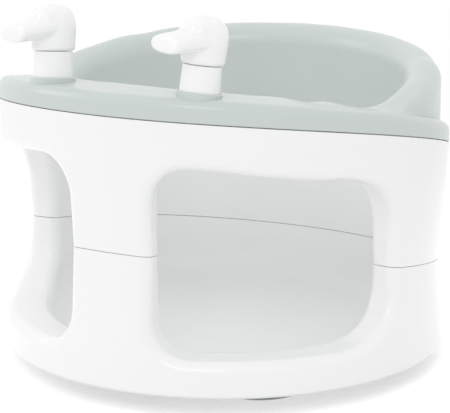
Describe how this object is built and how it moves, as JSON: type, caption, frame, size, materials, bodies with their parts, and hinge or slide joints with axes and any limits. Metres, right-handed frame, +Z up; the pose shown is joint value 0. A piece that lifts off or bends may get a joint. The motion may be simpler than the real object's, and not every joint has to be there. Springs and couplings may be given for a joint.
{
  "type": "baby bath ring",
  "caption": "Bath seat ring with leg openings either side of a front pillar, a raised backrest, turning duck heads on posts and suction cups below.",
  "frame": {"origin": "on the ground under the middle of the ring, where the suction cups stand", "axes": "+Z up; -Y to the front, where the pillar between the leg openings and the duck heads are; +X to the right seen from the front"},
  "size_m": [0.36, 0.36, 0.2957],
  "materials": {
    "white_shell": "gloss white moulded plastic",
    "pale_green": "gloss pale sage green moulded plastic",
    "cup_rubber": "soft smoky grey-green vinyl",
    "screw_steel": "plain zinc-plated steel"
  },
  "bodies": {
    "ring": {"lower_shell": "white_shell", "upper_shell": "white_shell", "top_ring": "pale_green", "left_post": "white_shell", "right_post": "white_shell", "cup_front_left": "cup_rubber", "cup_front_right": "cup_rubber", "cup_rear_left": "cup_rubber", "cup_rear_right": "cup_rubber", "shell_screws": "screw_steel", "ring_screws": "screw_steel"},
    "left_head": {"left_duck_head": "white_shell", "left_head_screw": "screw_steel", "left_head_washer": "screw_steel"},
    "right_head": {"right_duck_head": "white_shell", "right_head_screw": "screw_steel", "right_head_washer": "screw_steel"}
  },
  "joints": [
    {"name": "left_head_swivel", "type": "hinge", "parent": "ring", "child": "left_head", "pos_m": [-0.064, -0.145, 0.23812], "axis": [-0.0589, 0.1217, 0.9908], "continuous": true},
    {"name": "right_head_swivel", "type": "hinge", "parent": "ring", "child": "right_head", "pos_m": [0.064, -0.145, 0.23812], "axis": [0.0589, 0.1217, 0.9908], "continuous": true}
  ]
}
